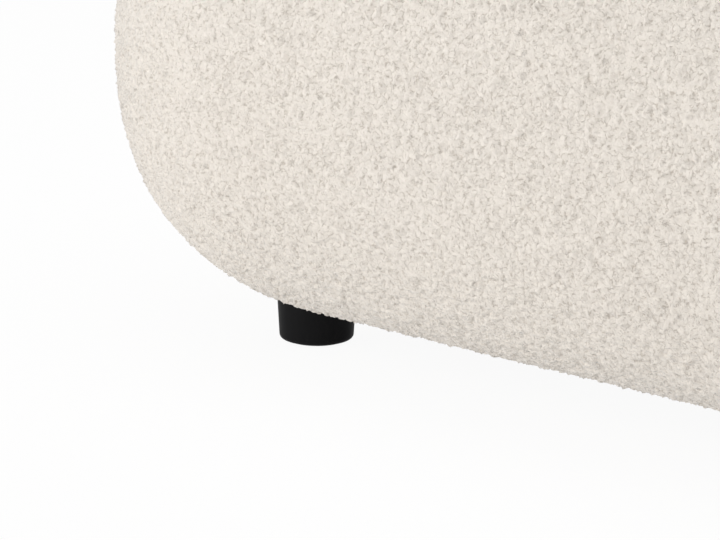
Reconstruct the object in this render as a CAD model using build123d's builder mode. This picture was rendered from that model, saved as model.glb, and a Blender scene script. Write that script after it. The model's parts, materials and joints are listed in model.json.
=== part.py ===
"""A rounded two-seat sofa on short turned wooden feet, in millimetres.

The floor is z = 0, the front faces -Y and left is -X. A timber frame with wire springs carries a thick
seat block, and steel posts bolted to that frame hold up the frames of the back and the arms. Two loose
cushions lean on the back.
"""

import math
import os

from build123d import *

os.makedirs("parts", exist_ok=True)

# Shared thicknesses and clearances
cover = 6.0
ease = 0.4
rail = 27.0
sections = 5
side_power = 1.62
rise_power = 2.27
least_corner = 12.0

# Feet
foot_height = 44.0
foot_top_radius = 33.0
foot_bottom_radius = 30.5
foot_edge = 4.0
foot_setback = 19.0
glide_radius = 24.0
glide_height = 1.2
glide_pin_radius = 3.0
glide_pin_height = 10.0
stud_radius = 4.0
stud_in_foot = 28.0
stud_in_board = 15.0
insert_radius = 6.5
insert_height = 16.0

# Seat block
seat_width = 2000.0
seat_depth = 980.0
seat_corner = 280.0
seat_height = 400.0
seat_widest = 196.0
seat_under = 145.0
seat_over = 125.0
seam_drop = 52.0
rim_width = 75.0
dust_sheet = 1.0
dust_overlap = 22.0
dust_foot_gap = 2.0

# Seat frame and springs
board_sheet = 18.0
board_gap = 1.0
frame_margin = 50.0
rail_height = 98.0
corner_block = 60.0
cross_clear = 40.0
cross_drop = 16.0
cross_height = 60.0
dowel_radius = 5.0
dowel_depth = 25.0
dowel_spread = 60.0
spring_spacing = 180.0
spring_margin = 120.0
spring_turns = 14
spring_reach = 28.0
wire_radius = 1.8
clip_sheet = 1.5
clip_width = 16.0
clip_depth = 8.0
felt = 4.0

# Back
back_thickness = 260.0
back_height = 340.0
back_end_inset = 80.0
back_rear_inset = 75.0
back_corner = 112.0
back_under = 62.0
back_over = 92.0
back_rail_height = 50.0
back_top_gap = 48.0
back_frame_end = 80.0
stile_width = 44.0
web_width = 52.0
web_sheet = 1.6
web_count = 3

# Arms
arm_width = 236.0
arm_height = 200.0
arm_side_inset = 82.0
arm_front_inset = 160.0
arm_corner = 104.0
arm_under = 58.0
arm_over = 84.0
arm_rail_height = 40.0
arm_top_gap = 38.0
arm_frame_end = 77.0

# Steel posts and bolts
post_width = 40.0
post_sheet = 6.0
post_lift = 6.0
post_channel = 14.0
back_post_near = 210.0
back_post_end = 185.0
arm_post_end = 70.0
bolt_radius = 4.0
bolt_head_radius = 8.0
bolt_head = 4.0
bolt_nut = 6.0
bolt_edge = 24.0

# Loose cushions
cushion_width = 560.0
cushion_tall = 340.0
cushion_thick = 150.0
cushion_crown = 64.0
cushion_fullness = 0.92
cushion_round = 1.6
cushion_tilt = 14.0
cushion_corner = 34.0
cushion_draw = 9.0
least_draw = 1.0
cushion_cover = 4.0
cushion_gap = 0.5

# Heights and positions that follow from the sizes above
seat_base = foot_height
seat_top = seat_base + seat_height
board_low = seat_base + cover
rail_low = board_low + board_sheet
rail_top = rail_low + rail_height
seam_z = seat_top - seam_drop
frame_x = seat_width / 2 - seat_under - frame_margin
frame_y = seat_depth / 2 - seat_under - frame_margin
foot_reach = (seat_corner - seat_under - foot_setback) * math.sqrt(0.5)
foot_x = seat_width / 2 - seat_corner + foot_reach
foot_y = seat_depth / 2 - seat_corner + foot_reach
wire_height = rail_top + clip_sheet + wire_radius + ease
felt_low = wire_height + wire_radius + ease
foam_split = felt_low + felt
module_low = seat_top + ease
back_width = seat_width - 2 * back_end_inset
back_offset = seat_depth / 2 - back_rear_inset - back_thickness / 2
back_face = back_offset - back_thickness / 2
back_top = module_low + back_height
back_rail_low = module_low + cover
back_rail_top = back_top - back_top_gap
arm_top = module_low + arm_height
arm_station = seat_width / 2 - arm_side_inset - arm_width / 2
arm_front = arm_front_inset - seat_depth / 2
arm_rear = back_face - 2 * ease
arm_length = arm_rear - arm_front
arm_y = (arm_front + arm_rear) / 2
arm_frame_front = arm_front + arm_frame_end
arm_frame_rear = arm_rear - arm_frame_end
arm_rail_low = module_low + cover
arm_rail_top = arm_top - arm_top_gap
back_post_far = frame_x - back_post_end
back_posts = (-back_post_far, -back_post_near, back_post_near, back_post_far)
arm_posts = (arm_frame_front + arm_post_end, arm_frame_rear - arm_post_end)
cross_station = back_post_near + cross_clear
post_low = rail_low + post_lift
rail_bolts = (post_low + bolt_edge, rail_top - bolt_edge)
back_bolts = rail_bolts + (back_rail_low + back_rail_height / 2, back_rail_top - back_rail_height / 2)
arm_bolts = rail_bolts + (arm_rail_low + arm_rail_height / 2, arm_rail_top - arm_rail_height / 2)
feet = {
    "front_left": (-foot_x, -foot_y),
    "front_right": (foot_x, -foot_y),
    "rear_left": (-foot_x, foot_y),
    "rear_right": (foot_x, foot_y),
}
sides = (("left", -1), ("right", 1))


def save(builder, name):
    """Names a finished piece and writes its file."""
    builder.part.label = name
    export_step(builder.part, f"parts/{name}.step")


def block(low, high, mode=Mode.ADD):
    """A box between two opposite corners."""
    size = [abs(b - a) for a, b in zip(low, high)]
    middle = [(a + b) / 2 for a, b in zip(low, high)]
    with Locations(tuple(middle)):
        Box(*size, mode=mode)


def rod(start, end, radius, mode=Mode.ADD):
    """A round bar from one point to another."""
    along = Vector(*end) - Vector(*start)
    with BuildSketch(Plane(origin=start, z_dir=along)) as end_face:
        Circle(radius)
    extrude(end_face.sketch, amount=along.length, mode=mode)


def block_levels(height, widest, under, over):
    """Inset and height of each section of a soft block, from its underside up to its top."""
    turns = [math.radians(90 * i / sections) for i in range(sections + 1)]
    share = [(1 - math.sin(t) ** (2 / side_power), 1 - math.cos(t) ** (2 / rise_power)) for t in turns]
    lower = [(under * inset, widest * rise) for inset, rise in share]
    upper = [(over * inset, height - (height - widest) * rise) for inset, rise in share[:-1]]
    return lower + upper[::-1]


def soft_block(place, width, depth, corner, height, widest, under, over, skin=0.0, mode=Mode.ADD):
    """A rounded upholstered block that stands at a place, taken in on all sides by a skin."""
    x, y, z = place
    outlines = []
    for inset, rise in block_levels(height - 2 * skin, widest - skin, under, over):
        wide = width - 2 * (inset + skin)
        deep = depth - 2 * (inset + skin)
        turn = min(max(corner - inset - skin, least_corner), 0.47 * min(wide, deep))
        with BuildSketch(Plane(origin=(x, y, z + skin + rise))) as outline:
            RectangleRounded(wide, deep, turn)
        outlines.append(outline.sketch.faces()[0])
    loft(outlines, mode=mode)


def seat_form(skin=0.0, mode=Mode.ADD):
    """The seat block."""
    place = (0, 0, seat_base)
    plan = (seat_width, seat_depth, seat_corner)
    soft_block(place, *plan, seat_height, seat_widest, seat_under, seat_over, skin, mode)


def back_form(skin=0.0, mode=Mode.ADD):
    """The back."""
    place = (0, back_offset, module_low)
    plan = (back_width, back_thickness, back_corner)
    soft_block(place, *plan, back_height, back_height / 2, back_under, back_over, skin, mode)


def arm_form(sign, skin=0.0, mode=Mode.ADD):
    """One arm."""
    place = (sign * arm_station, arm_y, module_low)
    plan = (arm_width, arm_length, arm_corner)
    soft_block(place, *plan, arm_height, arm_height / 2, arm_under, arm_over, skin, mode)


def post_spaces(slack, depth, mode=Mode.SUBTRACT):
    """The upright spaces that all the steel posts stand in."""
    half = post_width / 2 + slack
    for x in back_posts:
        block((x - half, frame_y - slack, post_low), (x + half, frame_y + depth, back_rail_top), mode)
    for _, sign in sides:
        for y in arm_posts:
            low = (sign * (frame_x - slack), y - half, post_low)
            block(low, (sign * (frame_x + depth), y + half, arm_rail_top), mode)


def back_bolt_rods(radius, inner, outer, heights, mode=Mode.ADD):
    """Round bars along Y at the back's bolts."""
    for x in back_posts:
        for z in heights:
            rod((x, inner, z), (x, outer, z), radius, mode)


def arm_bolt_rods(sign, radius, inner, outer, heights, mode=Mode.ADD):
    """Round bars along X at one arm's bolts."""
    for y in arm_posts:
        for z in heights:
            rod((sign * inner, y, z), (sign * outer, y, z), radius, mode)


def rail_dowels(mode=Mode.ADD):
    """The dowels that pin the front and rear rails to the ends of the side rails."""
    middle = rail_low + rail_height / 2
    for x in (rail / 2 - frame_x, frame_x - rail / 2):
        for y_sign in (-1, 1):
            y = y_sign * (frame_y - rail)
            for z in (middle - dowel_spread / 2, middle + dowel_spread / 2):
                rod((x, y - y_sign * dowel_depth, z), (x, y + y_sign * dowel_depth, z), dowel_radius, mode)


def base_board_form(gap=0.0, mode=Mode.ADD):
    """The rounded base board, let in by a gap inside the turned-under cover."""
    inset = seat_under + cover + gap
    corner = max(seat_corner - inset, least_corner)
    with BuildSketch(Plane.XY.offset(board_low)) as outline:
        RectangleRounded(seat_width - 2 * inset, seat_depth - 2 * inset, corner)
    extrude(outline.sketch, amount=board_sheet, mode=mode)


# Turned feet
for name, (x, y) in feet.items():
    with BuildPart() as foot:
        with BuildSketch(Plane(origin=(x, y, glide_height))):
            Circle(foot_bottom_radius)
        with BuildSketch(Plane(origin=(x, y, foot_height))):
            Circle(foot_top_radius)
        loft()
        fillet(foot.edges().sort_by(Axis.Z)[0], foot_edge)
        rod((x, y, foot_height - stud_in_foot), (x, y, foot_height), stud_radius, Mode.SUBTRACT)
        rod((x, y, glide_height), (x, y, glide_height + glide_pin_height), glide_pin_radius, Mode.SUBTRACT)
    save(foot, f"foot_{name}")

with BuildPart() as foot_glides:
    for x, y in feet.values():
        rod((x, y, 0), (x, y, glide_height), glide_radius)
        rod((x, y, glide_height), (x, y, glide_height + glide_pin_height), glide_pin_radius)
save(foot_glides, "foot_glides")

with BuildPart() as foot_studs:
    for x, y in feet.values():
        rod((x, y, foot_height - stud_in_foot), (x, y, board_low + stud_in_board), stud_radius)
save(foot_studs, "foot_studs")

with BuildPart() as foot_inserts:
    for x, y in feet.values():
        rod((x, y, board_low), (x, y, board_low + insert_height), insert_radius)
        rod((x, y, board_low), (x, y, board_low + stud_in_board), stud_radius, Mode.SUBTRACT)
save(foot_inserts, "foot_inserts")

# Seat frame
with BuildPart() as base_board:
    base_board_form(board_gap)
    reach_x = frame_x - corner_block - rail
    reach_y = frame_y - corner_block - rail
    for x_sign in (-1, 1):
        low = (x_sign * cross_station / 2, -reach_y, board_low)
        block(low, (x_sign * reach_x, reach_y, rail_low), Mode.SUBTRACT)
    for x, y in feet.values():
        rod((x, y, board_low), (x, y, board_low + insert_height), insert_radius, Mode.SUBTRACT)
save(base_board, "base_board")

with BuildPart() as corner_blocks:
    for x_sign in (-1, 1):
        for y_sign in (-1, 1):
            x = x_sign * (frame_x - rail)
            y = y_sign * (frame_y - rail)
            block((x - x_sign * corner_block, y - y_sign * corner_block, rail_low), (x, y, rail_top))
save(corner_blocks, "corner_blocks")

for name, sign in (("front", -1), ("rear", 1)):
    with BuildPart() as long_rail:
        block((-frame_x, sign * (frame_y - rail), rail_low), (frame_x, sign * frame_y, rail_top))
        rail_dowels(Mode.SUBTRACT)
        if sign > 0:
            back_bolt_rods(bolt_radius, frame_y - rail, frame_y, rail_bolts, Mode.SUBTRACT)
    save(long_rail, f"seat_{name}_rail")

for name, sign in sides:
    with BuildPart() as end_rail:
        reach = frame_y - rail
        block((sign * (frame_x - rail), -reach, rail_low), (sign * frame_x, reach, rail_top))
        rail_dowels(Mode.SUBTRACT)
        arm_bolt_rods(sign, bolt_radius, frame_x - rail, frame_x, rail_bolts, Mode.SUBTRACT)
    save(end_rail, f"seat_{name}_rail")

with BuildPart() as rail_dowel_set:
    rail_dowels()
save(rail_dowel_set, "rail_dowels")

with BuildPart() as cross_rails:
    for x in (-cross_station, cross_station):
        top = rail_top - cross_drop
        reach = frame_y - rail
        block((x - rail / 2, -reach, top - cross_height), (x + rail / 2, reach, top))
save(cross_rails, "seat_cross_rails")

# Springs
spring_gaps = int(2 * (frame_x - rail - spring_margin) // spring_spacing)
spring_stations = [spring_spacing * (i - spring_gaps / 2) for i in range(spring_gaps + 1)]
spring_end = frame_y - rail / 2
spring_pitch = 2 * spring_end / spring_turns

with BuildPart() as zigzag:
    points = []
    for i in range(spring_turns + 1):
        side = spring_reach if i % 2 else -spring_reach
        y = -spring_end + i * spring_pitch
        points += [(side, y, wire_height), (-side, y, wire_height)]
    with BuildLine() as path:
        FilletPolyline(*points, radius=0.42 * spring_pitch)
    with BuildSketch(Plane(origin=path.wire() @ 0, z_dir=path.wire() % 0)):
        Circle(wire_radius)
    sweep(path=path.wire())

with BuildPart() as seat_springs:
    for x in spring_stations:
        with Locations((x, 0, 0)):
            add(zigzag.part)
save(seat_springs, "seat_springs")

with BuildPart() as spring_clips:
    for x in spring_stations:
        for sign in (-1, 1):
            inner = spring_end - wire_radius - ease
            left = x - clip_width / 2
            right = x + clip_width / 2
            top = felt_low + clip_sheet
            block((left, sign * (inner - clip_sheet), rail_top), (right, sign * (inner + clip_depth), top))
            low = (left, sign * inner, rail_top + clip_sheet)
            block(low, (right, sign * (inner + clip_depth), felt_low), Mode.SUBTRACT)
save(spring_clips, "spring_clips")

with BuildPart() as spring_felt:
    reach = spring_end - wire_radius - 2 * clip_sheet - ease
    block((rail - frame_x, -reach, felt_low), (frame_x - rail, reach, foam_split))
save(spring_felt, "spring_felt")

# Seat foam and cover
with BuildPart() as seat_border_foam:
    seat_form(cover + ease)
    split(bisect_by=Plane.XY.offset(foam_split), keep=Keep.BOTTOM)
    base_board_form(board_gap - ease, Mode.SUBTRACT)
    block((-frame_x, -frame_y, rail_low), (frame_x, frame_y, foam_split), Mode.SUBTRACT)
    post_spaces(2 * ease, post_channel)
save(seat_border_foam, "seat_border_foam")

with BuildPart() as seat_core_foam:
    seat_form(cover + ease)
    split(bisect_by=Plane.XY.offset(foam_split), keep=Keep.TOP)
    post_spaces(2 * ease, post_channel)
save(seat_core_foam, "seat_core_foam")

for name, half in (("front", Plane.XZ), ("rear", -Plane.XZ)):
    with BuildPart() as seat_band:
        seat_form()
        seat_form(cover, Mode.SUBTRACT)
        split(bisect_by=Plane.XY.offset(seam_z), keep=Keep.BOTTOM)
        split(bisect_by=half, keep=Keep.TOP)
        reach_x = seat_width / 2 - seat_under - rim_width
        reach_y = seat_depth / 2 - seat_under - rim_width
        block((-reach_x, -reach_y, 0), (reach_x, reach_y, board_low), Mode.SUBTRACT)
        for x, y in feet.values():
            rod((x, y, seat_base), (x, y, board_low), stud_radius, Mode.SUBTRACT)
    save(seat_band, f"seat_{name}_band")

with BuildPart() as seat_top_cover:
    seat_form()
    seat_form(cover, Mode.SUBTRACT)
    split(bisect_by=Plane.XY.offset(seam_z), keep=Keep.TOP)
    post_spaces(2 * ease, post_sheet + 2 * ease)
save(seat_top_cover, "seat_top_cover")

with BuildPart() as dust_cover:
    reach_x = seat_width / 2 - seat_under - rim_width + dust_overlap
    reach_y = seat_depth / 2 - seat_under - rim_width + dust_overlap
    block((-reach_x, -reach_y, seat_base - dust_sheet), (reach_x, reach_y, seat_base))
    for x, y in feet.values():
        rod((x, y, seat_base - dust_sheet), (x, y, seat_base), foot_top_radius + dust_foot_gap, Mode.SUBTRACT)
save(dust_cover, "dust_cover")

# Steel posts
with BuildPart() as back_post_set:
    for x in back_posts:
        low = (x - post_width / 2, frame_y, post_low)
        block(low, (x + post_width / 2, frame_y + post_sheet, back_rail_top))
    back_bolt_rods(bolt_radius, frame_y, frame_y + post_sheet, back_bolts, Mode.SUBTRACT)
save(back_post_set, "back_posts")

for name, sign in sides:
    with BuildPart() as arm_post_set:
        for y in arm_posts:
            low = (sign * frame_x, y - post_width / 2, post_low)
            block(low, (sign * (frame_x + post_sheet), y + post_width / 2, arm_rail_top))
        arm_bolt_rods(sign, bolt_radius, frame_x, frame_x + post_sheet, arm_bolts, Mode.SUBTRACT)
    save(arm_post_set, f"arm_{name}_posts")

with BuildPart() as back_bolt_set:
    outer = frame_y + post_sheet
    inner = frame_y - rail
    back_bolt_rods(bolt_radius, inner - bolt_nut, outer, back_bolts)
    back_bolt_rods(bolt_head_radius, outer, outer + bolt_head, back_bolts)
    back_bolt_rods(bolt_head_radius, inner - bolt_nut, inner, back_bolts)
save(back_bolt_set, "back_bolts")

with BuildPart() as arm_bolt_set:
    outer = frame_x + post_sheet
    inner = frame_x - rail
    for _, sign in sides:
        arm_bolt_rods(sign, bolt_radius, inner - bolt_nut, outer, arm_bolts)
        arm_bolt_rods(sign, bolt_head_radius, outer, outer + bolt_head, arm_bolts)
        arm_bolt_rods(sign, bolt_head_radius, inner - bolt_nut, inner, arm_bolts)
save(arm_bolt_set, "arm_bolts")

# Back frame
back_half = back_width / 2 - back_frame_end
back_front = frame_y - rail

with BuildPart() as back_bottom_rail:
    block((-back_half, back_front, back_rail_low), (back_half, frame_y, back_rail_low + back_rail_height))
    back_bolt_rods(bolt_radius, back_front, frame_y, back_bolts[2:], Mode.SUBTRACT)
save(back_bottom_rail, "back_bottom_rail")

with BuildPart() as back_top_rail:
    block((-back_half, back_front, back_rail_top - back_rail_height), (back_half, frame_y, back_rail_top))
    back_bolt_rods(bolt_radius, back_front, frame_y, back_bolts[2:], Mode.SUBTRACT)
save(back_top_rail, "back_top_rail")

with BuildPart() as back_stiles:
    for x in back_posts + (-back_half + stile_width / 2, back_half - stile_width / 2):
        low = (x - stile_width / 2, back_front, back_rail_low + back_rail_height)
        block(low, (x + stile_width / 2, frame_y, back_rail_top - back_rail_height))
save(back_stiles, "back_stiles")

with BuildPart() as back_webbing:
    web_low = back_rail_low + back_rail_height
    web_step = (back_rail_top - back_rail_height - web_low) / web_count
    for i in range(web_count):
        z = web_low + (i + 0.5) * web_step
        low = (-back_half, back_front - web_sheet, z - web_width / 2)
        block(low, (back_half, back_front, z + web_width / 2))
save(back_webbing, "back_webbing")

# Back foam and cover
seam_plane = Plane.XZ.offset(-(back_front - bolt_nut - ease))

with BuildPart() as back_front_foam:
    back_form(cover + ease)
    split(bisect_by=seam_plane, keep=Keep.TOP)
save(back_front_foam, "back_front_foam")

with BuildPart() as back_rear_foam:
    back_form(cover + ease)
    split(bisect_by=seam_plane, keep=Keep.BOTTOM)
    low = (-back_half - ease, back_front - bolt_nut - ease, module_low)
    block(low, (back_half + ease, frame_y + post_channel, back_rail_top + ease), Mode.SUBTRACT)
save(back_rear_foam, "back_rear_foam")

for name, keep in (("front", Keep.TOP), ("rear", Keep.BOTTOM)):
    with BuildPart() as back_cover:
        back_form()
        back_form(cover, Mode.SUBTRACT)
        split(bisect_by=seam_plane, keep=keep)
        post_spaces(2 * ease, post_sheet + 2 * ease)
    save(back_cover, f"back_{name}_cover")

# Arms
for name, sign in sides:
    arm_inner = sign * (frame_x - rail)
    arm_outer = sign * frame_x
    with BuildPart() as arm_bottom_rail:
        low = (arm_inner, arm_frame_front, arm_rail_low)
        block(low, (arm_outer, arm_frame_rear, arm_rail_low + arm_rail_height))
        arm_bolt_rods(sign, bolt_radius, frame_x - rail, frame_x, arm_bolts[2:], Mode.SUBTRACT)
    save(arm_bottom_rail, f"arm_{name}_bottom_rail")

    with BuildPart() as arm_top_rail:
        low = (arm_inner, arm_frame_front, arm_rail_top - arm_rail_height)
        block(low, (arm_outer, arm_frame_rear, arm_rail_top))
        arm_bolt_rods(sign, bolt_radius, frame_x - rail, frame_x, arm_bolts[2:], Mode.SUBTRACT)
    save(arm_top_rail, f"arm_{name}_top_rail")

    with BuildPart() as arm_stiles:
        for y in arm_posts:
            low = (arm_inner, y - stile_width / 2, arm_rail_low + arm_rail_height)
            block(low, (arm_outer, y + stile_width / 2, arm_rail_top - arm_rail_height))
    save(arm_stiles, f"arm_{name}_stiles")

    with BuildPart() as arm_foam:
        arm_form(sign, cover + ease)
        low = (sign * (frame_x - rail - bolt_nut - ease), arm_frame_front - ease, module_low)
        high = (sign * (frame_x + post_channel), arm_frame_rear + ease, arm_rail_top + ease)
        block(low, high, Mode.SUBTRACT)
    save(arm_foam, f"arm_{name}_foam")

    with BuildPart() as arm_cover:
        arm_form(sign)
        arm_form(sign, cover, Mode.SUBTRACT)
        post_spaces(2 * ease, post_sheet + 2 * ease)
    save(arm_cover, f"arm_{name}_cover")


def cushion_levels(half):
    """Share, inset and height of each section of one cushion half, from its seam out to its face."""
    roll = (cushion_tall - cushion_crown) / 2 / cushion_fullness
    shares = [cushion_fullness * (i / sections) ** cushion_round for i in range(sections + 1)]
    return [(share, roll * share, half * (1 - (1 - share) ** 2)) for share in shares]


def cushion_half(plane, facing, skin=0.0, mode=Mode.ADD):
    """Half of a cushion on one side of its seam, with sides drawn in between its corners."""
    half = cushion_thick / 2 - skin
    outlines = []
    for share, inset, rise in cushion_levels(half):
        x = cushion_width / 2 - inset - 2 * skin
        y = cushion_tall / 2 - inset - 2 * skin
        draw = cushion_draw * (1 - share) + least_draw
        corners = [(-x, -y), (x, -y), (x, y), (-x, y)]
        middles = [(0, draw - y), (x - draw, 0), (0, y - draw), (draw - x, 0)]
        with BuildSketch(plane.offset(facing * rise)) as outline:
            with BuildLine():
                for start, middle, end in zip(corners, middles, corners[1:] + corners[:1]):
                    ThreePointArc(start, middle, end)
            make_face()
            fillet(outline.vertices(), min(cushion_corner + 0.3 * inset, 0.4 * y))
        outlines.append(outline.sketch.faces()[0])
    loft(outlines, mode=mode)


def corner_lift():
    """How far a cushion's rounded corners stay above the corners of its plain outline."""
    low_slope = math.atan(4 * (cushion_draw + least_draw) / cushion_width)
    side_slope = math.atan(4 * (cushion_draw + least_draw) / cushion_tall)
    half = (math.pi / 2 - low_slope - side_slope) / 2
    return cushion_corner * (math.sin(low_slope + half) / math.sin(half) - 1)


# Loose cushions
tilt = math.radians(cushion_tilt)
rear_face = [(cushion_tall / 2 - inset, rise) for _, inset, rise in cushion_levels(cushion_thick / 2)]
cushion_reach = max(up * math.sin(tilt) + out * math.cos(tilt) for up, out in rear_face)
cushion_station = (arm_station - arm_width / 2) / 2
cushion_y = back_face - cushion_reach - cushion_gap
cushion_z = seat_top + ease + (cushion_tall / 2 - corner_lift()) * math.cos(tilt)
for name, sign in sides:
    middle = (sign * cushion_station, cushion_y, cushion_z)
    lean = Plane(origin=middle, x_dir=(1, 0, 0), z_dir=(0, -math.cos(tilt), math.sin(tilt)))
    with BuildPart() as cushion_core:
        cushion_half(lean, 1, cushion_cover + ease)
        cushion_half(lean, -1, cushion_cover + ease)
    save(cushion_core, f"cushion_{name}_core")

    for panel, facing in (("front", 1), ("rear", -1)):
        with BuildPart() as cushion_panel:
            cushion_half(lean, facing)
            cushion_half(lean, facing, cushion_cover, Mode.SUBTRACT)
        save(cushion_panel, f"cushion_{name}_{panel}")
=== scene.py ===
"""Looks of a rounded sofa, in metres: looped cream cloth, loose cushions and turned black wooden feet."""

import json
import math

import bmesh
import bpy
import numpy as np
from mathutils import Matrix, Vector


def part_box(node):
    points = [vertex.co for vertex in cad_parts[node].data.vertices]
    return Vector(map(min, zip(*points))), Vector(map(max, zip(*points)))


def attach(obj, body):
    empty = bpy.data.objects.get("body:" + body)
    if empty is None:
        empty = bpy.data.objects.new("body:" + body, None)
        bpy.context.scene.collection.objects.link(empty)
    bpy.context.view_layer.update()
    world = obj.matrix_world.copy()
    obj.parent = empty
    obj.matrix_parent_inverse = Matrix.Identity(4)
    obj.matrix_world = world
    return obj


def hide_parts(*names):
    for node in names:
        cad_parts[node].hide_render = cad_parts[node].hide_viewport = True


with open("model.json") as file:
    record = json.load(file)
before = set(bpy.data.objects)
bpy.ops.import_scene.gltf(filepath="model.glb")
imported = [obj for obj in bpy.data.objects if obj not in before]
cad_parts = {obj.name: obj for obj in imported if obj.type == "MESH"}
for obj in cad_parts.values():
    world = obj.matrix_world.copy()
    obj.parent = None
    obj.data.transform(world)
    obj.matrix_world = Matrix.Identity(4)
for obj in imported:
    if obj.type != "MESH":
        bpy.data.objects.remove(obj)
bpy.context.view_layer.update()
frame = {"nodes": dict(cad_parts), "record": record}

# Upholstery sizes, as in the solid model
SEAT = dict(width=2.000, depth=0.980, corner=0.280, low=0.044, height=0.400)
SEAT.update(widest=0.196, under=0.145, over=0.125)
BACK = dict(width=1.840, depth=0.260, corner=0.112, low=0.4444, height=0.340)
BACK.update(widest=0.170, under=0.062, over=0.092)
ARM = dict(width=0.236, depth=0.4842, corner=0.104, low=0.4444, height=0.200)
ARM.update(widest=0.100, under=0.058, over=0.084)
BACK_Y = 0.285
BACK_SEAM_Y = 0.2616
ARM_X = 0.800
ARM_Y = -0.0879
SEAM_Z = 0.392
RIM = 0.075
SIDE_POWER = 1.62
RISE_POWER = 2.27
CUSHION = dict(width=0.560, tall=0.340, thick=0.150, draw=0.010, roll_in=0.150)
CUSHION_TILT = math.radians(14.0)

# Spacing of the cloth's points
FRONT_SPACING = 0.0021
REAR_SPACING = 0.0045
TOP_SPACING = 0.0055
BACK_SPACING = 0.0050
ARM_SPACING = 0.0045
SEAT_SIDE_RUN = 0.58
RIM_ROWS = 15
CUSHION_STEPS = (88, 54)
DUST_STEPS = (180, 72)

# Seams: how deep the cloth is drawn in, and how far from the seam
SEAT_SEAM = (0.0032, 0.006)
SEAT_END_SEAM = (0.0026, 0.004)
BACK_SEAM = (0.0030, 0.006)
ARM_SEAM = (0.0030, 0.005)
ARM_SEAM_INSET = 0.062
SEAM_TURN = 0.003

# Unevenness of the padding, how high the seat's middle is crowned, and how far a cushion swells
SEAT_RIPPLE = 0.0012
TOP_RIPPLE = 0.0010
BLOCK_RIPPLE = 0.0008
CUSHION_RIPPLE = 0.0016
CROWN = 0.009
CUSHION_MARGIN = 0.006
CUSHION_SWELL = 0.010
SWELL_FRAMES = 20
BLUNT_CORNER = 0.009

# Dust cover
DUST_SAG = 0.0035
DUST_PUCKER = 0.0005
PUCKER_LENGTH = 0.06
DUST_BELOW = 0.0006
FOOT_CLEAR = 0.042


class Value:
    """One output of a shader node. Arithmetic on it adds Math nodes."""

    def __init__(self, finish, socket):
        self.finish = finish
        self.socket = socket

    def maths(self, operation, first, second):
        return self.finish.node("ShaderNodeMath", "Value", {"operation": operation}, {0: first, 1: second})

    def __add__(self, other):
        return self.maths("ADD", self, other)

    def __sub__(self, other):
        return self.maths("SUBTRACT", self, other)

    def __rsub__(self, other):
        return self.maths("SUBTRACT", other, self)

    def __mul__(self, other):
        return self.maths("MULTIPLY", self, other)

    def __abs__(self):
        return self.maths("ABSOLUTE", self, 0.0)


class Finish:
    """One procedural material, or the surroundings."""

    def __init__(self, name, store=bpy.data.materials, surface="Principled BSDF", **constants):
        self.material = store.new(name)
        self.material.use_nodes = True
        self.tree = self.material.node_tree
        self.surface = self.tree.nodes[surface]
        for socket, value in constants.items():
            self.surface.inputs[socket.replace("_", " ")].default_value = value

    def node(self, kind, output, settings, sockets):
        made = self.tree.nodes.new(kind)
        for name, value in settings.items():
            if name == "stops":
                ramp = made.color_ramp.elements
                while len(ramp) < len(value):
                    ramp.new(0.5)
                for stop, (place, colour) in zip(ramp, value):
                    stop.position = place
                    stop.color = (*colour, 1.0)
            else:
                setattr(made, name, value)
        for name, value in sockets.items():
            if isinstance(value, Value):
                self.tree.links.new(value.socket, made.inputs[name])
            else:
                made.inputs[name].default_value = value
        return Value(self, made.outputs[output])

    def place(self):
        return self.node("ShaderNodeTexCoord", "Object", {}, {})

    def ray(self, kind):
        return self.node("ShaderNodeLightPath", f"Is {kind} Ray", {}, {})

    def noise(self, place, scale, detail, roughness=0.5, distortion=0.0):
        sockets = {"Vector": place, "Scale": scale, "Detail": detail}
        sockets.update(Roughness=roughness, Distortion=distortion)
        return self.node("ShaderNodeTexNoise", "Fac", {}, sockets)

    def stretched(self, place, scales):
        settings = {"vector_type": "POINT"}
        return self.node("ShaderNodeMapping", "Vector", settings, {"Vector": place, "Scale": scales})

    def ramp(self, value, stops):
        return self.node("ShaderNodeValToRGB", "Color", {"stops": stops}, {"Fac": value})

    def map(self, value, low, high, out_low, out_high):
        sockets = {"Value": value, "From Min": low, "From Max": high, "To Min": out_low, "To Max": out_high}
        return self.node("ShaderNodeMapRange", "Result", {"interpolation_type": "SMOOTHSTEP"}, sockets)

    def tinted(self, first, second, share):
        settings = {"data_type": "RGBA", "blend_type": "MIX"}
        return self.node("ShaderNodeMix", 2, settings, {0: share, 6: first, 7: second})

    def bump(self, height, distance, strength):
        sockets = {"Height": height, "Distance": distance, "Strength": strength}
        return self.node("ShaderNodeBump", "Normal", {}, sockets)

    def feed(self, **links):
        for socket, value in links.items():
            self.tree.links.new(value.socket, self.surface.inputs[socket.replace("_", " ")])
        return self.material


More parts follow.
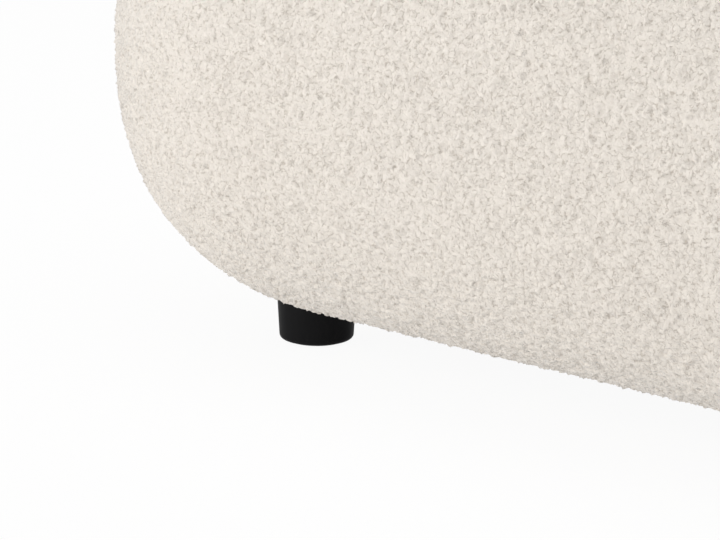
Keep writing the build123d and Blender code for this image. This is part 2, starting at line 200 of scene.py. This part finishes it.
def looped_cloth(name, relief):
    """Cream cloth with a dense pile of small curled loops and thin gaps between them, darkened with painted
    shade.

    A mesh too coarse to carry the loops has more relief in its finish.
    """
    cloth = Finish(name, Sheen_Weight=0.5, Sheen_Roughness=0.35, Specular_IOR_Level=0.1)
    place = cloth.place()
    sway = cloth.node("ShaderNodeTexNoise", "Color", {}, {"Vector": place, "Scale": 290.0, "Detail": 1.0})
    shift = {"operation": "MULTIPLY_ADD"}
    swing = (0.0046, 0.0046, 0.0046)
    curl = cloth.node("ShaderNodeVectorMath", "Vector", shift, {0: sway, 1: swing, 2: place})
    cells = {"feature": "DISTANCE_TO_EDGE"}
    edge = cloth.node("ShaderNodeTexVoronoi", "Distance", cells, {"Vector": curl, "Scale": 200.0})
    depth = cloth.map(cloth.noise(place, 360.0, 1.0), 0.40, 0.64, 0.18, 1.0)
    loop_gap = 1 - (1 - cloth.map(edge, 0.0, 0.14, 0.0, 1.0)) * depth
    nub = cloth.map(edge, 0.0, 0.42, 0.0, 1.0)
    yarn_gap = cloth.map(abs(cloth.noise(curl, 430.0, 1.0) - 0.5), 0.0, 0.16, 0.0, 1.0)
    strand = cloth.noise(curl, 900.0, 2.0, 0.6)
    tuft = cloth.noise(place, 290.0, 1.0)
    raised = nub * (0.30 + 0.35 * relief) + tuft * relief
    height = raised + loop_gap * 0.35 + yarn_gap * 0.28 + strand * 0.35
    # Painted shade: the colour below darkens to a deep tone in the gaps between loops and yarns, where the
    # pile shades itself, with the fine strands mottling it.
    shade = loop_gap * 0.62 + yarn_gap * 0.26 + strand * 0.36
    patch = cloth.noise(place, 9.0, 3.0, 0.55)
    pale = cloth.tinted((0.764, 0.712, 0.648, 1), (0.778, 0.728, 0.667, 1), patch)
    colour = cloth.tinted((0.545, 0.492, 0.432, 1), pale, cloth.map(shade, 0.15, 0.98, 0.0, 1.0))
    rough = cloth.map(shade, 0.2, 0.9, 0.98, 0.88)
    return cloth.feed(Base_Color=colour, Roughness=rough, Normal=cloth.bump(height, 0.0012, 0.65))


def black_lacquer():
    """Turned hardwood under satin black lacquer."""
    wood = Finish("black_lacquered_wood", Specular_IOR_Level=0.02)
    place = wood.place()
    grain = wood.noise(wood.stretched(place, (260.0, 260.0, 26.0)), 1.0, 4.0, 0.6, 0.4)
    smudge = wood.noise(place, 60.0, 3.0)
    colour = wood.tinted((0.0076, 0.0076, 0.0081, 1), (0.0120, 0.0120, 0.0127, 1), grain)
    rough = wood.map(smudge * 0.6 + grain * 0.4, 0.3, 0.7, 0.42, 0.52)
    return wood.feed(Base_Color=colour, Roughness=rough, Normal=wood.bump(grain, 0.00025, 0.35))


def planed_timber(name, pale, dark):
    """Softwood or plywood with its grain along the sofa."""
    wood = Finish(name, Specular_IOR_Level=0.3)
    place = wood.stretched(wood.place(), (3.0, 46.0, 46.0))
    rings = wood.noise(place, 1.4, 5.0, 0.62, 1.2)
    pores = wood.noise(place, 14.0, 2.0)
    colour = wood.ramp(rings * 0.8 + pores * 0.2, [(0.25, dark), (0.5, pale), (0.75, dark)])
    rough = wood.map(pores, 0.3, 0.7, 0.55, 0.75)
    relief = wood.bump(rings * 0.6 + pores * 0.4, 0.0006, 0.5)
    return wood.feed(Base_Color=colour, Roughness=rough, Normal=relief)


def metal(name, colour, dark, roughness, metallic, scale):
    """Plated or coated steel with slight mottling."""
    steel = Finish(name, Metallic=metallic)
    mottle = steel.noise(steel.place(), scale, 4.0, 0.6)
    tint = steel.tinted((*dark, 1), (*colour, 1), mottle)
    rough = steel.map(mottle, 0.3, 0.7, roughness - 0.08, roughness + 0.08)
    return steel.feed(Base_Color=tint, Roughness=rough, Normal=steel.bump(mottle, 0.0002, 0.4))


def fibre(name, pale, dark, scale, depth):
    """Foam, felt, webbing or thin cloth with a fine open structure."""
    soft = Finish(name, Specular_IOR_Level=0.1, Sheen_Weight=0.1)
    place = soft.place()
    sockets = {"Vector": place, "Scale": scale}
    cells = soft.node("ShaderNodeTexVoronoi", "Distance", {"feature": "F1"}, sockets)
    fuzz = soft.noise(place, scale * 1.7, 3.0, 0.6)
    height = cells * 0.7 + fuzz * 0.5
    colour = soft.tinted((*dark, 1), (*pale, 1), soft.map(height, 0.2, 0.8, 0.0, 1.0))
    rough = soft.map(fuzz, 0.3, 0.7, 0.85, 0.97)
    return soft.feed(Base_Color=colour, Roughness=rough, Normal=soft.bump(height, depth, 0.7))


BAND_CLOTH = looped_cloth("looped_cream_band_cloth", 0.0)
COVER_CLOTH = looped_cloth("looped_cream_cover_cloth", 3.5)
FINISHES = {
    "boucle": COVER_CLOTH,
    "black_wood": black_lacquer(),
    "glide_plastic": fibre("nylon_glide", (0.045, 0.045, 0.047), (0.025, 0.025, 0.026), 900.0, 0.0001),
    "zinc_steel": metal("zinc_plated_steel", (0.62, 0.62, 0.60), (0.48, 0.48, 0.47), 0.36, 1.0, 220.0),
    "black_steel": metal("black_coated_steel", (0.030, 0.030, 0.032), (0.018, 0.018, 0.019), 0.5, 0.0, 700.0),
    "foam": fibre("seat_foam", (0.84, 0.80, 0.72), (0.72, 0.67, 0.58), 700.0, 0.0006),
    "felt": fibre("spring_felt", (0.42, 0.40, 0.37), (0.25, 0.24, 0.23), 420.0, 0.0008),
    "dust_cloth": fibre("black_dust_cloth", (0.034, 0.034, 0.035), (0.012, 0.012, 0.013), 650.0, 0.0003),
    "webbing": fibre("elastic_webbing", (0.50, 0.41, 0.28), (0.32, 0.25, 0.16), 380.0, 0.0006),
    "plywood": planed_timber("birch_plywood", (0.66, 0.50, 0.33), (0.50, 0.35, 0.21)),
    "pine": planed_timber("planed_pine", (0.72, 0.54, 0.33), (0.53, 0.35, 0.18)),
}

for part in frame["record"]["subparts"]:
    shown = frame["nodes"][part["node"]]
    shown.data.materials.clear()
    shown.data.materials.append(FINISHES[part["material_slot"]])


def block_profile(form, steps):
    """Inset and height up a soft block's side, from its underside edge to its top edge, evenly spaced."""
    turn = np.linspace(0, np.pi / 2, 400)
    inset = 1 - np.sin(turn) ** (2 / SIDE_POWER)
    rise = 1 - np.cos(turn) ** (2 / RISE_POWER)
    rest = form["height"] - form["widest"]
    insets = np.concatenate([form["under"] * inset, form["over"] * inset[::-1]])
    heights = np.concatenate([form["widest"] * rise, form["height"] - rest * rise[::-1]]) + form["low"]
    run = np.concatenate([[0], np.cumsum(np.hypot(np.diff(insets), np.diff(heights)))])
    even = np.linspace(0, run[-1], steps)
    return np.interp(even, run, insets), np.interp(even, run, heights)


def rounded_outline(width, depth, corner, spacing):
    """Points and outward directions round a rounded rectangle.

    They start at the middle of its left end and go over the front.
    """
    half_x = width / 2 - corner
    half_y = depth / 2 - corner
    arc = max(int(math.pi / 2 * corner / spacing), 6)
    runs_x = max(int(2 * half_x / spacing), 2)
    runs_y = max(int(half_y / spacing), 1)
    feet, ways = [], []

    def run(start, end, count, way):
        for t in np.linspace(0, 1, count, endpoint=False):
            feet.append((start[0] + (end[0] - start[0]) * t, start[1] + (end[1] - start[1]) * t))
            ways.append(way)

    def bend(centre, first):
        for t in np.linspace(0, math.pi / 2, arc, endpoint=False):
            feet.append(centre)
            ways.append((math.cos(first + t), math.sin(first + t)))

    run((-half_x, 0), (-half_x, -half_y), runs_y, (-1, 0))
    bend((-half_x, -half_y), math.pi)
    run((-half_x, -half_y), (half_x, -half_y), runs_x, (0, -1))
    bend((half_x, -half_y), 1.5 * math.pi)
    run((half_x, -half_y), (half_x, half_y), 2 * runs_y, (1, 0))
    bend((half_x, half_y), 0)
    run((half_x, half_y), (-half_x, half_y), runs_x, (0, 1))
    bend((-half_x, half_y), 0.5 * math.pi)
    run((-half_x, half_y), (-half_x, 0), runs_y, (-1, 0))
    return np.array(feet), np.array(ways)


def ring_points(form, insets, heights, feet, ways):
    """A grid of points on a soft block: one ring of the outline for each inset and height."""
    reach = form["corner"] - np.asarray(insets)
    plan = feet[None] + ways[None] * reach[:, None, None]
    up = np.broadcast_to(np.asarray(heights)[:, None, None], plan.shape[:2] + (1,))
    return np.concatenate([plan, up], axis=2)


def grid_faces(rows, columns, closed):
    """Four-cornered faces of a grid of points."""
    index = np.arange(rows * columns).reshape(rows, columns)
    after = np.roll(index, -1, axis=1) if closed else index[:, 1:]
    here = index if closed else index[:, :-1]
    return np.stack([here[:-1], after[:-1], after[1:], here[1:]], axis=-1).reshape(-1, 4)


def smooth(mesh):
    """Shades a mesh smoothly."""
    mesh.polygons.foreach_set("use_smooth", np.ones(len(mesh.polygons), dtype=bool))


def shown_object(name, mesh):
    """A smooth-shaded object with that mesh, in the scene."""
    piece = bpy.data.objects.new(name, mesh)
    bpy.context.scene.collection.objects.link(piece)
    smooth(mesh)
    return piece


def new_piece(name, points, faces, finish=COVER_CLOTH):
    """A smooth-shaded object made from points and faces."""
    mesh = bpy.data.meshes.new(name)
    corners = [list(map(int, face)) for face in faces]
    mesh.from_pydata(np.asarray(points).reshape(-1, 3).tolist(), [], corners)
    mesh.update()
    mesh.materials.append(finish)
    return shown_object(name, mesh)


def settle(piece):
    """Replaces a piece's mesh by what its modifiers make of it."""
    seen = piece.evaluated_get(bpy.context.evaluated_depsgraph_get())
    mesh = bpy.data.meshes.new_from_object(seen)
    piece.modifiers.clear()
    piece.data = mesh
    smooth(mesh)


def mesh_points(piece, kind="co"):
    """A piece's points as an array."""
    flat = np.empty(len(piece.data.vertices) * 3)
    piece.data.vertices.foreach_get(kind, flat)
    return flat.reshape(-1, 3)


def mesh_normals(piece):
    """A piece's outward directions as an array."""
    return mesh_points(piece, "normal")


def move_points(piece, points):
    """Puts a piece's points in new places."""
    piece.data.vertices.foreach_set("co", np.ascontiguousarray(points).ravel())
    piece.data.update()


def even_block(name, form, place, spacing):
    """A closed soft block with evenly sized faces."""
    feet, ways = rounded_outline(form["width"], form["depth"], form["corner"], spacing)
    insets, heights = block_profile(form, 48)
    points = ring_points(form, insets, heights, feet, ways)
    rows, columns = points.shape[:2]
    faces = [list(face) for face in grid_faces(rows, columns, True)]
    faces.append(list(range(columns))[::-1])
    faces.append(list(range((rows - 1) * columns, rows * columns)))
    piece = new_piece(name, points + np.array([place[0], place[1], 0.0]), faces)
    remesh = piece.modifiers.new("even", "REMESH")
    remesh.mode = "VOXEL"
    remesh.voxel_size = spacing
    relax = piece.modifiers.new("relax", "SMOOTH")
    relax.factor = 0.5
    relax.iterations = 3
    settle(piece)
    return piece


def cut_piece(source, name, *cuts):
    """The part of a block on the kept side of each cutting plane, its cut edge turned in."""
    mesh = bmesh.new()
    mesh.from_mesh(source.data)
    for point, normal in cuts:
        everything = mesh.verts[:] + mesh.edges[:] + mesh.faces[:]
        plane = dict(plane_co=point, plane_no=normal, clear_inner=True, dist=1e-5)
        bmesh.ops.bisect_plane(mesh, geom=everything, **plane)
    mesh.normal_update()
    inward = {corner: corner.normal * SEAM_TURN for corner in mesh.verts if corner.is_boundary}
    cut_edges = [edge for edge in mesh.edges if edge.is_boundary]
    for corner in bmesh.ops.extrude_edge_only(mesh, edges=cut_edges)["geom"]:
        if isinstance(corner, bmesh.types.BMVert):
            linked = (edge.other_vert(corner) for edge in corner.link_edges)
            sewn_to = next(other for other in linked if other in inward)
            corner.co = sewn_to.co - inward[sewn_to]
    data = bpy.data.meshes.new(name)
    mesh.to_mesh(data)
    mesh.free()
    return shown_object(name, data)


def soft_window(value, low, high, blend):
    """One between two limits, easing to zero over a blend outside them."""
    near = np.clip((value - low) / blend + 1, 0, 1) * np.clip((high - value) / blend + 1, 0, 1)
    return near * near * (3 - 2 * near)


def sewn(distance, seam):
    """How far cloth is drawn in beside a seam."""
    depth, reach = seam
    return depth * np.exp(-np.abs(distance) / reach)


def lifted(spot, low, blend):
    """Nought at a block's underside, rising to one."""
    return np.clip((spot[:, 2] - low) / blend, 0, 1)


def ripple(points, scale, seed):
    """A slow unevenness of padding under cloth, between about -1 and 1."""
    source = np.random.default_rng(seed)
    total = np.zeros(len(points))
    for _ in range(9):
        wave = source.normal(size=3) / scale
        total += np.sin(points @ wave * 2 * math.pi + source.uniform(0, 2 * math.pi))
    return total / 4.5


def loop_texture(name, kind, size, **settings):
    """A three-dimensional texture for raising loops."""
    texture = bpy.data.textures.new(name, kind)
    texture.noise_scale = size
    for setting, value in settings.items():
        setattr(texture, setting, value)
    return texture


# Texture, strength and middle level of each layer of loops, and the share of points below the loop tops
NUBS = loop_texture("loop_nubs", "VORONOI", 0.0048, noise_intensity=1.4)
TUFTS = loop_texture("loop_tufts", "CLOUDS", 0.0032, noise_depth=1)
PROUD = loop_texture("proud_loops", "CLOUDS", 0.0032, noise_depth=0, contrast=5.0, intensity=0.20)
LOOP_LAYERS = ((NUBS, -0.0018, 0.35), (TUFTS, 0.0018, 0.5), (PROUD, 0.0006, 0.05))
LOOP_TOPS = 94


def raise_loops(piece, share):
    """Works loops into the cloth, with their tops level with its plain surface."""
    level = mesh_points(piece)
    out = mesh_normals(piece)
    for texture, strength, middle in LOOP_LAYERS:
        lift = piece.modifiers.new(texture.name, "DISPLACE")
        lift.texture = texture
        lift.texture_coords = "LOCAL"
        lift.direction = "NORMAL"
        lift.strength = strength * share
        lift.mid_level = middle
    settle(piece)
    looped = mesh_points(piece)
    rise = np.percentile(np.sum((looped - level) * out, axis=1), LOOP_TOPS)
    move_points(piece, looped - out * rise)


def upholster(piece, body, fill, *nodes, finish=COVER_CLOTH, loops=0.6):
    """Puts a finished cover on its body in place of its plain solids."""
    raise_loops(piece, loops)
    piece.data.materials.clear()
    piece.data.materials.append(finish)
    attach(piece, body)
    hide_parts(*nodes)


def seat_band(name, front, spacing):
    """Half of the seat's side cover, with its edge turned under as far as the dust cover."""
    feet, ways = rounded_outline(SEAT["width"], SEAT["depth"], SEAT["corner"], spacing)
    half = len(feet) // 2
    pick = np.arange(0, half + 1) if front else np.append(np.arange(half, len(feet)), 0)
    feet, ways = feet[pick], ways[pick]
    insets, heights = block_profile(SEAT, int(SEAT_SIDE_RUN / spacing))
    keep = heights < SEAM_Z
    under = np.linspace(SEAT["under"] + RIM, SEAT["under"], RIM_ROWS, endpoint=False)
    edge = np.interp(SEAM_Z, heights, insets)
    insets = np.concatenate([under, insets[keep], [edge, edge + SEAM_TURN]])
    heights = np.concatenate([np.full(len(under), SEAT["low"]), heights[keep], [SEAM_Z, SEAM_Z]])
    points = ring_points(SEAT, insets, heights, feet, ways)
    piece = new_piece(name, points, grid_faces(*points.shape[:2], False))
    spot = mesh_points(piece)
    out = mesh_normals(piece)
    free = lifted(spot, SEAT["low"], 0.02)
    drawn = sewn(spot[:, 2] - SEAM_Z, SEAT_SEAM) + sewn(spot[:, 1], SEAT_END_SEAM) * free
    move_points(piece, spot + out * (ripple(spot, 0.34, 3) * SEAT_RIPPLE * free - drawn)[:, None])
    return piece


def seat_top():
    """The seat's top cover, crowned where people sit."""
    whole = even_block("seat_whole", SEAT, (0, 0), TOP_SPACING)
    piece = cut_piece(whole, "seat_top_cloth", ((0, 0, SEAM_Z), (0, 0, 1)))
    bpy.data.objects.remove(whole)
    spot = mesh_points(piece)
    out = mesh_normals(piece)
    sat = soft_window(spot[:, 0], -0.30, 0.30, 0.36) * soft_window(spot[:, 1], -0.30, -0.18, 0.15)
    lift = sat * CROWN * np.clip(out[:, 2], 0, 1)
    side = soft_window(spot[:, 1], -0.6, -0.28, 0.1)
    drawn = sewn(spot[:, 2] - SEAM_Z, SEAT_SEAM)
    move_points(piece, spot + out * (lift + ripple(spot, 0.4, 5) * TOP_RIPPLE * side - drawn)[:, None])
    return piece


def back_covers():
    """The front and rear covers of the back, sewn together over its top and ends."""
    whole = even_block("back_whole", BACK, (0, BACK_Y), BACK_SPACING)
    front = cut_piece(whole, "back_front_cloth", ((0, BACK_SEAM_Y, 0), (0, -1, 0)))
    rear = cut_piece(whole, "back_rear_cloth", ((0, BACK_SEAM_Y, 0), (0, 1, 0)))
    bpy.data.objects.remove(whole)
    for piece in (front, rear):
        spot = mesh_points(piece)
        out = mesh_normals(piece)
        free = lifted(spot, BACK["low"], 0.05)
        drawn = sewn(spot[:, 1] - BACK_SEAM_Y, BACK_SEAM) * free
        uneven = (ripple(spot, 0.45, 8) - 0.6) * BLOCK_RIPPLE
        move_points(piece, spot + out * (uneven * free - drawn)[:, None])
    return front, rear


def arm_cover(name, sign):
    """One arm's cover, with a sewn round panel at its front end."""
    piece = even_block(name, ARM, (sign * ARM_X, ARM_Y), ARM_SPACING)
    spot = mesh_points(piece)
    out = mesh_normals(piece)
    free = lifted(spot, ARM["low"], 0.04)
    front = ARM_Y - ARM["depth"] / 2 + ARM_SEAM_INSET
    drawn = sewn(spot[:, 1] - front, ARM_SEAM) * free
    uneven = (ripple(spot, 0.3, 11 + sign) - 1) * BLOCK_RIPPLE
    move_points(piece, spot + out * (uneven * free - drawn)[:, None])
    return piece


def cushion_shape(name, steps_x, steps_y, shrink):
    """A closed pillow of two panels that meet in one seam, in its own upright plane."""
    u = np.linspace(-1, 1, steps_x)
    v = np.linspace(-1, 1, steps_y)
    grid_u, grid_v = np.meshgrid(u, v)
    half_x = CUSHION["width"] / 2 - shrink
    half_y = CUSHION["tall"] / 2 - shrink
    draw = CUSHION["draw"]
    x = grid_u * (half_x - draw * (1 - grid_v**2) * np.abs(grid_u))
    y = grid_v * (half_y - draw * (1 - grid_u**2) * np.abs(grid_v))
    blunt = (np.abs(grid_u) * np.abs(grid_v)) ** 14
    x = x - np.sign(grid_u) * blunt * BLUNT_CORNER
    y = y - np.sign(grid_v) * blunt * BLUNT_CORNER
    rise_x = 1 - (1 - np.clip((half_x - np.abs(x)) / CUSHION["roll_in"], 0, 1)) ** 2.4
    rise_y = 1 - (1 - np.clip((half_y - np.abs(y)) / CUSHION["roll_in"], 0, 1)) ** 2.4
    thick = (CUSHION["thick"] / 2 - shrink) * (rise_x * rise_y) ** 0.8
    rim = (np.abs(grid_u) == 1) | (np.abs(grid_v) == 1)
    thick[rim] = 0
    count = steps_x * steps_y
    face = np.stack([x, y, thick], -1).reshape(-1, 3)
    rear = np.stack([x, y, -thick], -1).reshape(-1, 3)
    quads = grid_faces(steps_y, steps_x, False)
    partner = np.where(rim.ravel(), np.arange(count), np.arange(count) + count)
    faces = np.concatenate([quads, partner[quads][:, ::-1]])
    used = np.unique(faces)
    new = np.full(2 * count, -1)
    new[used] = np.arange(len(used))
    return new_piece(name, np.concatenate([face, rear])[used], new[faces])


def plump(piece, cap):
    """Swells a cushion with a short cloth simulation, holding its seam and how far it may move."""
    start = mesh_points(piece)
    seam = piece.vertex_groups.new(name="seam")
    seam.add([int(i) for i in np.where(np.abs(start[:, 2]) < 1e-6)[0]], 1.0, "REPLACE")
    swell = piece.modifiers.new("swell", "CLOTH")
    cloth = swell.settings
    cloth.quality = 6
    cloth.mass = 0.35
    cloth.tension_stiffness = 18
    cloth.compression_stiffness = 14
    cloth.bending_stiffness = 0.4
    cloth.use_pressure = True
    cloth.uniform_pressure_force = 4.0
    cloth.vertex_group_mass = "seam"
    cloth.pin_stiffness = 0.6
    cloth.effector_weights.gravity = 0.0
    swell.collision_settings.use_collision = False
    swell.point_cache.frame_start = 1
    swell.point_cache.frame_end = SWELL_FRAMES
    for step in range(1, SWELL_FRAMES + 1):
        bpy.context.scene.frame_set(step)
    settle(piece)
    bpy.context.scene.frame_set(1)
    moved = mesh_points(piece) - start
    length = np.linalg.norm(moved, axis=1, keepdims=True)
    move_points(piece, start + moved * np.minimum(1, cap / np.maximum(length, 1e-9)))


def loose_cushion(side, sign):
    """One lumbar cushion leaning on the back."""
    piece = cushion_shape(f"cushion_{side}_cloth", *CUSHION_STEPS, CUSHION_MARGIN)
    plump(piece, CUSHION_SWELL)
    finer = piece.modifiers.new("finer", "SUBSURF")
    finer.levels = 1
    finer.render_levels = 1
    settle(piece)
    spot = mesh_points(piece)
    out = mesh_normals(piece)
    low, high = (np.array(corner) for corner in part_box(f"cushion_{side}_front"))
    rear_low, rear_high = (np.array(corner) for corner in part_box(f"cushion_{side}_rear"))
    middle = (np.minimum(low, rear_low) + np.maximum(high, rear_high)) / 2
    up = np.array([0, math.sin(CUSHION_TILT), math.cos(CUSHION_TILT)])
    forward = np.array([0, -math.cos(CUSHION_TILT), math.sin(CUSHION_TILT)])
    away = np.clip(np.abs(spot[:, 2]) / 0.04, 0, 1)
    folds = ripple(spot, 0.22, 21 + sign) * CUSHION_RIPPLE * away
    spot = spot + out * folds[:, None]
    turned = spot[:, :1] * np.array([1, 0, 0]) + spot[:, 1:2] * up + spot[:, 2:] * forward
    move_points(piece, turned + middle)
    return piece


front_band = seat_band("seat_front_band_cloth", True, FRONT_SPACING)
upholster(front_band, "sofa", 0.95, "seat_front_band", finish=BAND_CLOTH, loops=1.0)
upholster(seat_band("seat_rear_band_cloth", False, REAR_SPACING), "sofa", 0.95, "seat_rear_band")
upholster(seat_top(), "sofa", 0.9, "seat_top_cover")
for cloth, node in zip(back_covers(), ("back_front_cover", "back_rear_cover")):
    upholster(cloth, "sofa", 0.9, node)
for side, sign in (("left", -1), ("right", 1)):
    upholster(arm_cover(f"arm_{side}_cloth", sign), "sofa", 0.9, f"arm_{side}_cover")
    nodes = [f"cushion_{side}_{node}" for node in ("front", "rear", "core")]
    upholster(loose_cushion(side, sign), f"cushion_{side}", 0.7, *nodes)


def dust_sheet():
    """The thin black cloth under the seat, stapled round its edge and sagging a little."""
    low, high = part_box("dust_cover")
    steps_x, steps_y = DUST_STEPS
    x = np.linspace(low[0], high[0], steps_x)
    y = np.linspace(low[1], high[1], steps_y)
    grid_x, grid_y = np.meshgrid(x, y)
    edge_x = np.minimum(grid_x - low[0], high[0] - grid_x)
    edge_y = np.minimum(grid_y - low[1], high[1] - grid_y)
    edge = np.minimum(edge_x, edge_y)
    sag = DUST_SAG * np.clip(edge / 0.2, 0, 1) ** 0.8
    turn = 2 * math.pi / PUCKER_LENGTH
    pucker = np.cos(grid_x * turn) * np.cos(grid_y * turn)
    z = high[2] - DUST_BELOW - sag - DUST_PUCKER * pucker * np.exp(-edge / 0.02)
    points = np.stack([grid_x, grid_y, z], -1).reshape(-1, 3)
    quads = grid_faces(steps_y, steps_x, False)[:, ::-1]
    centre = points[quads].mean(axis=1)
    clear = np.ones(len(quads), dtype=bool)
    for name in ("front_left", "front_right", "rear_left", "rear_right"):
        foot_low, foot_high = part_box(f"foot_{name}")
        foot_x, foot_y = ((foot_low[axis] + foot_high[axis]) / 2 for axis in (0, 1))
        clear &= np.hypot(centre[:, 0] - foot_x, centre[:, 1] - foot_y) > FOOT_CLEAR
    piece = new_piece("dust_cover_cloth", points, quads[clear], FINISHES["dust_cloth"])
    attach(piece, "sofa")
    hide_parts("dust_cover")


dust_sheet()


def soft_lamp(name, place, target, size, power):
    """A large white rectangular lamp aimed at a point."""
    lamp = bpy.data.lights.new(name, "AREA")
    lamp.shape = "RECTANGLE"
    lamp.size, lamp.size_y = size
    lamp.energy = power
    holder = bpy.data.objects.new(name, lamp)
    holder.location = place
    holder.rotation_euler = (Vector(target) - Vector(place)).to_track_quat("-Z", "Y").to_euler()
    bpy.context.scene.collection.objects.link(holder)


# Lamps: place, aim, size and watts
soft_lamp("top_panel", (-0.2, -0.8, 3.4), (0.0, 0.0, 0.3), (4.0, 3.0), 57.0)
soft_lamp("left_panel", (-2.9, -2.5, 0.45), (-0.75, -0.4, 0.12), (2.4, 0.8), 31.0)
soft_lamp("front_panel", (-0.9, -3.2, 0.42), (-0.6, -0.4, 0.12), (3.0, 0.8), 30.0)
soft_lamp("right_panel", (3.4, -2.4, 1.7), (0.0, -0.2, 0.3), (2.4, 2.4), 4.0)
soft_lamp("rear_panel", (0.6, 4.2, 1.8), (0.0, 0.3, 0.4), (4.0, 2.0), 122.0)
soft_lamp("end_panel", (3.9, 1.1, 1.4), (0.9, 0.1, 0.3), (2.4, 1.6), 42.0)


# The floor's reach, the share of it that glows for every ray, which is painted light on the sofa from below,
# and the share added where the camera or a reflection sees it
FLOOR_REACH = 30
FLOOR_GLOW = 0.44
FLOOR_SEEN_GLOW = 0.50


def pale_floor():
    """A white studio floor that takes the sofa's shadow softly and glows, lighting the sofa from below with
    painted light.
    """
    ground = Finish("white_floor", Base_Color=(0.96, 0.96, 0.96, 1), Roughness=0.9, Specular_IOR_Level=0.0)
    share = (ground.ray("Camera") + ground.ray("Glossy")) * FLOOR_SEEN_GLOW + FLOOR_GLOW
    glow = ground.node("ShaderNodeEmission", 0, {}, {})
    plain = Value(ground, ground.surface.outputs[0])
    mixed = ground.node("ShaderNodeMixShader", 0, {}, {0: share, 1: plain, 2: glow})
    ground.tree.links.new(mixed.socket, ground.tree.nodes["Material Output"].inputs["Surface"])
    corners = [(x * FLOOR_REACH, y * FLOOR_REACH, 0) for x, y in ((-1, -1), (1, -1), (1, 1), (-1, 1))]
    new_piece("studio_floor", corners, [(0, 1, 2, 3)], ground.material)


pale_floor()

# Surroundings
WORLD_LIGHT = 0.32
WORLD_SEEN = 1.0
world = Finish("white_studio", bpy.data.worlds, "Background", Color=(1.0, 1.0, 1.0, 1))
bpy.context.scene.world = world.material
seen = world.ray("Camera")
for kind in ("Transmission", "Glossy"):
    seen = seen.maths("MAXIMUM", seen, world.ray(kind))
world.feed(Strength=world.node("ShaderNodeMix", 0, {}, {0: seen, 2: WORLD_LIGHT, 3: WORLD_SEEN}))

# Camera
AIM = Vector((-0.57150, -0.49049, 0.13315))
AWAY = 2.5
SENSOR = 36.0
PICTURE_WIDTH = 720
PIXELS_PER_METRE = 1368.8
TURN, DOWN, ROLL = (math.radians(v) for v in (42.598, 13.876, 0.465))
level_right = Vector((math.cos(TURN), math.sin(TURN), 0))
level_ahead = Vector((-math.sin(TURN), math.cos(TURN), 0))
ahead = level_ahead * math.cos(DOWN) - Vector((0, 0, 1)) * math.sin(DOWN)
upward = level_ahead * math.sin(DOWN) + Vector((0, 0, 1)) * math.cos(DOWN)
right = level_right * math.cos(ROLL) + upward * math.sin(ROLL)
upward = upward * math.cos(ROLL) - level_right * math.sin(ROLL)
camera = bpy.data.objects.new("camera", bpy.data.cameras.new("camera"))
bpy.context.scene.collection.objects.link(camera)
camera.data.sensor_width = SENSOR
camera.data.lens = SENSOR * PIXELS_PER_METRE * AWAY / PICTURE_WIDTH
camera.data.clip_end = 100
camera.matrix_world = Matrix((right, upward, -ahead)).transposed().to_4x4()
camera.location = AIM - ahead * AWAY
bpy.context.scene.camera = camera
bpy.context.scene.view_settings.view_transform = "Standard"
